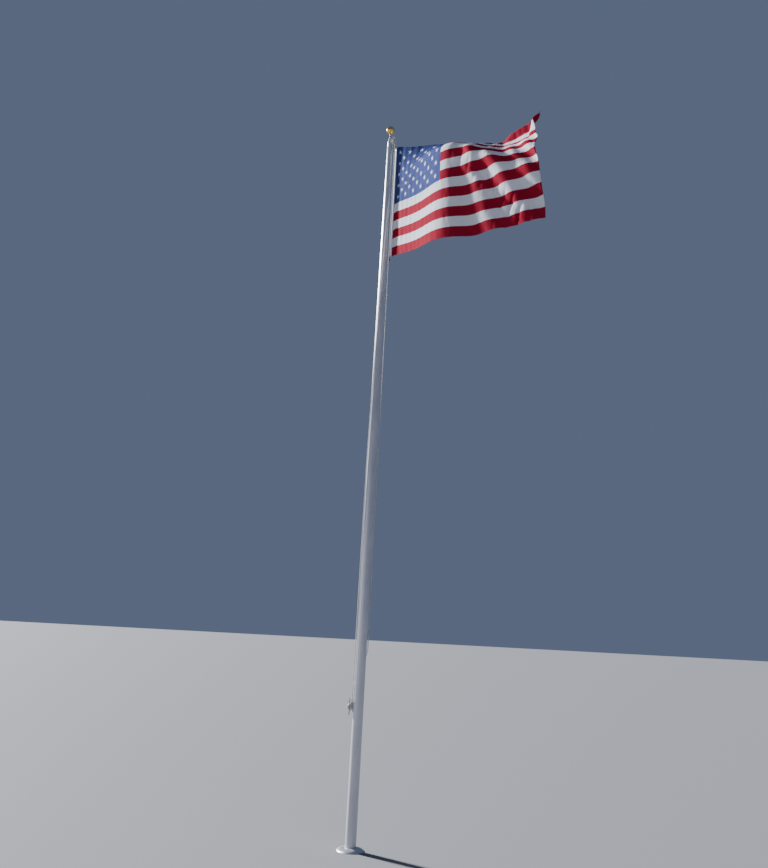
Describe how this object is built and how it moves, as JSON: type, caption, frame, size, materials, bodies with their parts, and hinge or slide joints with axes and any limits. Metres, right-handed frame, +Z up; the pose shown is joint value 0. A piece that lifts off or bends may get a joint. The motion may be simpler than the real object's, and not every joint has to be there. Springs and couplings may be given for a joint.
{
  "type": "flagpole",
  "caption": "Ground-set tapered metal flagpole with gilt ball, side sheave truck, cleated halyard, swivel snaps and a waving striped flag that hoists, lowers and swings.",
  "frame": {"origin": "centre of the shaft's foot at ground level", "axes": "+Z up along the shaft; the flag flies towards +X and a little towards -Y, and the cleat faces -X"},
  "size_m": [1.6384, 2.0238, 7.8768],
  "materials": {
    "shaft_aluminium": "satin ground-line finish, fine brushing round the shaft",
    "collar_aluminium": "spun, smooth satin",
    "cast_aluminium": "cast, softly tumbled",
    "screw_steel": "plain stainless",
    "gold": "gold anodised, bright",
    "halyard": "white braided rope",
    "sheave": "moulded nylon",
    "snap_metal": "dark weathered bronze",
    "brass": "dull brass",
    "heading_canvas": "white duck canvas",
    "flag_blue": "navy nylon with sewn white stars",
    "flag_red": "red nylon",
    "flag_white": "white nylon"
  },
  "bodies": {
    "pole": {"shaft": "shaft_aluminium", "flash_collar": "collar_aluminium", "truck": "cast_aluminium", "truck_set_screws": "screw_steel", "sheave_axle": "screw_steel", "finial_ball": "gold", "ball_spindle": "screw_steel", "ball_lock_nut": "screw_steel", "cleat": "cast_aluminium", "cleat_screws": "screw_steel", "halyard_over_sheave": "halyard", "halyard_hoist_fall": "halyard", "halyard_return_fall": "halyard", "cleat_turns": "halyard"},
    "sheave": {"sheave": "sheave"},
    "halyard_knots": {"top_snap_knots": "halyard", "foot_snap_knots": "halyard"},
    "flag": {"top_snap_eye": "snap_metal", "top_snap_hook": "snap_metal", "top_snap_gate": "snap_metal", "foot_snap_eye": "snap_metal", "foot_snap_hook": "snap_metal", "foot_snap_gate": "snap_metal", "top_grommet": "brass", "foot_grommet": "brass", "flag_heading": "heading_canvas", "flag_canton": "flag_blue", "flag_red_stripes": "flag_red", "flag_white_stripes": "flag_white"}
  },
  "joints": [
    {"name": "flag_hoist", "type": "slide", "parent": "pole", "child": "halyard_knots", "axis": [0, 0, 1], "range_m": [-4.2, 0]},
    {"name": "flag_swing", "type": "hinge", "parent": "halyard_knots", "child": "flag", "pos_m": [0.06161, 0.02014, 7], "axis": [0, 0, 1], "range_deg": [-15, 120]},
    {"name": "sheave_spin", "type": "hinge", "parent": "pole", "child": "sheave", "pos_m": [0.04792, -0.01744, 7.677], "axis": [0.9397, -0.342, 0], "continuous": true}
  ],
  "couplings": [
    {"joint": "sheave_spin", "follows": "flag_hoist", "rad_per_m": 25}
  ]
}
